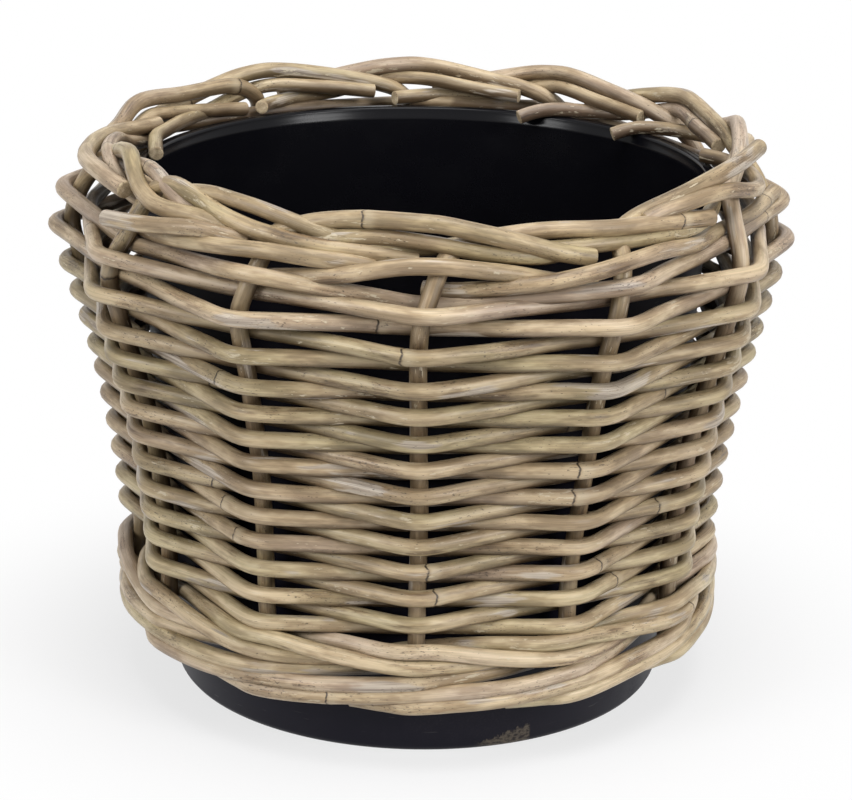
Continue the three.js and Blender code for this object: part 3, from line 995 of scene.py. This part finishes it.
# How pale each stake is, from the front one anticlockwise seen from above
TONES = [0.33, 0.3, 0.7, 0.6, 0.75, 0.72, 0.6, 0.45, 0.55, 0.44, 0.33, 0.33]
HUES = [0.4, 0.3, 0.9, 0.4, 0.85, 0.7, 0.3, 0.5, 0.5, 0.2, 0.3, 0.3]


def make_border():
    for stake in range(STAKES):
        unit = unit_of(stake)
        tone, hue = TONES[stake], HUES[stake]
        knots = []
        heights = list(np.linspace(STAKE_BOTTOM, SHOULDER_HEIGHT, STAKE_KNOTS))
        for height in heights + [SHOULDER_HEIGHT + SHOULDER_KNOT, TOP_ROW]:
            radius, lean, _ = stake_line(unit, height)
            knots.append(place(stake + lean, radius, height))
        run = OWN_STROKES.get(unit, STROKE)
        stroke = [border_place(stake + turn, layer, rise) for turn, layer, rise in run]
        name = f"stake_{stake + 1:02d}"
        if unit == CUT_STAKE:
            route = hand_worked(kinked(stroke, BORDER_EASE))
            part = f"{name}_stroke_cane"
            cane(part, name, route, SHOWN_CUT_STROKE, CUT_STROKE_SEED, tone, hue, STAKE_SIDES)
            turn, layer, rise = CUT_STAKE_END
            stroke = [border_place(stake + turn, layer, rise)]
        route = hand_worked(kinked(knots + stroke, BORDER_EASE))
        cane(f"{name}_cane", name, route, SHOWN_STAKE, STAKE_SEED + stake, tone, hue, STAKE_SIDES, STAKE_PAINTED_SHADE)

        under = OWN_UNDER_STROKES.get(unit, UNDER_STROKE)
        knots = [border_place(stake + turn, layer, rise) for turn, layer, rise in under]
        knots += [place(stake + turn, radius, height) for turn, radius, height in OWN_TAILS.get(unit, TAIL)]
        route = hand_worked(kinked(knots, BORDER_EASE))
        name = f"follower_{stake + 1:02d}"
        cane(f"{name}_cane", name, route, SHOWN_FOLLOWER, FOLLOWER_SEED + stake, tone + FOLLOWER_PALER)


make_border()


# Wale and foot border

WALE_CANES = 3
# Places along a wale cane: turn, step outwards from the stakes, step up from the middle of the band
WALE = [
    (0, -1, 0), (0.5, 0, 1), (0.85, 1, 1), (1.12, 1.06, 0.95), (1.5, 1.04, 0), (1.88, 1.06, -0.95),
    (2.15, 1, -1), (2.5, 0, -1),
]
# Tone and hue of each wale cane
WALE_LOOKS = [(0.6, 0.3), (0.78, 0.2), (1.0, 0.8)]
FOOT_TONES = [0.86, 0.98, 0.7, 0.62, 0.8, 0.66, 0.75, 0.6, 0.84, 0.7, 0.66, 0.74]


def make_wale():
    for number in range(WALE_CANES):
        knots = []
        for first in range(0, STAKES, WALE_CANES):
            for turn, layer, level in WALE:
                start = END_GAP if first + turn == 0 else 0
                spot = number + first + turn + start
                knots.append(place(spot, WALL_RADIUS + layer * WEAVE_OFFSET, WALE_HEIGHT + level * WALE_RISE))
        end = number + STAKES - END_GAP
        knots.append(place(end, WALL_RADIUS - WEAVE_OFFSET, WALE_HEIGHT))
        name = f"wale_cane_{number + 1:02d}"
        route = hand_worked(through(knots))
        cane(f"{name}_cane", name, route, SHOWN_LOW_CANE, WALE_SEED + number, *WALE_LOOKS[number])


def make_foot():
    for number in range(STAKES):
        knots = [
            place(number - 0.42, WALL_RADIUS, FOOT_START + FOOT_LIFT - 0.1 * CANE_STEP),
            place(number - 0.2, WALL_RADIUS + 0.5 * WEAVE_OFFSET, FOOT_START + FOOT_LIFT - 0.05 * CANE_STEP),
        ]
        for third in range(7):
            height = FOOT_START + FOOT_LIFT + third / 6 * (FOOT_END - FOOT_START + FOOT_TOP_LIFT - FOOT_LIFT)
            knots.append(place(number + third / 3, WALL_RADIUS + WEAVE_OFFSET, height))
        for turn, layer, tuck in ((2.2, 0.62, 0.7), (2.4, 0.2, 1), (2.8, -1, 1)):
            height = FOOT_END + FOOT_TOP_LIFT + tuck * FOOT_TUCK
            knots.append(place(number + turn, WALL_RADIUS + layer * WEAVE_OFFSET, height))
        name = f"foot_cane_{number + 1:02d}"
        route = hand_worked(through(knots))
        cane(f"{name}_cane", name, route, SHOWN_LOW_CANE, FOOT_SEED + number, FOOT_TONES[number])


make_wale()
make_foot()


# Floor, background and light

FLOOR_SIZE = 6
WORLD_STRENGTH = 0.18
LAMP_AIM = (0, 0, 0.15)
# Each lamp's place, size in metres and power in watts
LAMPS = {
    "lamp_above": ((0.2, -0.4, 2.0), 1.4, 30),
    "lamp_front_left": ((-1.8, -1.4, 1.2), 1.0, 29),
    "lamp_front_right": ((1.7, -1.5, 1.2), 1.0, 34),
}


def make_floor():
    bm = bmesh.new()
    bmesh.ops.create_grid(bm, x_segments=1, y_segments=1, size=FLOOR_SIZE)
    mesh = bpy.data.meshes.new("floor")
    bm.to_mesh(mesh)
    bm.free()
    material = bpy.data.materials.new("white_floor")
    material.use_nodes = True
    graph = Graph(material.node_tree)
    material.node_tree.nodes.clear()
    surface = graph.add("ShaderNodeOutputMaterial").inputs["Surface"]
    matt = graph.add("ShaderNodeBsdfDiffuse")
    matt.inputs["Color"].default_value = (0.72, 0.72, 0.73, 1)
    white = graph.add("ShaderNodeEmission")
    point = graph.add("ShaderNodeTexCoord").outputs["Object"]
    far = graph.add("ShaderNodeVectorMath", operation="LENGTH")
    graph.join(point, far.inputs[0])
    blend_out = graph.spread(far.outputs["Value"], 0.12, 0.34, 0.7, 1.0)
    share = graph.math("MULTIPLY", graph.direct_rays(), blend_out)
    graph.join(graph.mix_shaders(share, matt.outputs[0], white.outputs[0]), surface)
    mesh.materials.append(material)
    floor = add_object("floor", mesh)


def make_world():
    world = bpy.data.worlds.new("studio")
    bpy.context.scene.world = world
    world.use_nodes = True
    graph = Graph(world.node_tree)
    soft = world.node_tree.nodes["Background"]
    soft.inputs["Color"].default_value = (0.97, 0.98, 1.0, 1)
    soft.inputs["Strength"].default_value = WORLD_STRENGTH
    white = graph.add("ShaderNodeBackground")
    white.inputs["Color"].default_value = (1, 1, 1, 1)
    mixed = graph.mix_shaders(graph.direct_rays(), soft.outputs[0], white.outputs[0])
    graph.join(mixed, world.node_tree.nodes["World Output"].inputs["Surface"])


def make_lamp(name, spot, size, power):
    data = bpy.data.lights.new(name, "AREA")
    data.shape = "DISK"
    data.size = size
    data.energy = power
    lamp = add_object(name, data)
    lamp.location = spot
    lamp.rotation_euler = (Vector(LAMP_AIM) - Vector(spot)).to_track_quat("-Z", "Y").to_euler()


make_floor()
make_world()
for lamp_name, settings in LAMPS.items():
    make_lamp(lamp_name, *settings)

bpy.context.scene.view_settings.view_transform = "Standard"
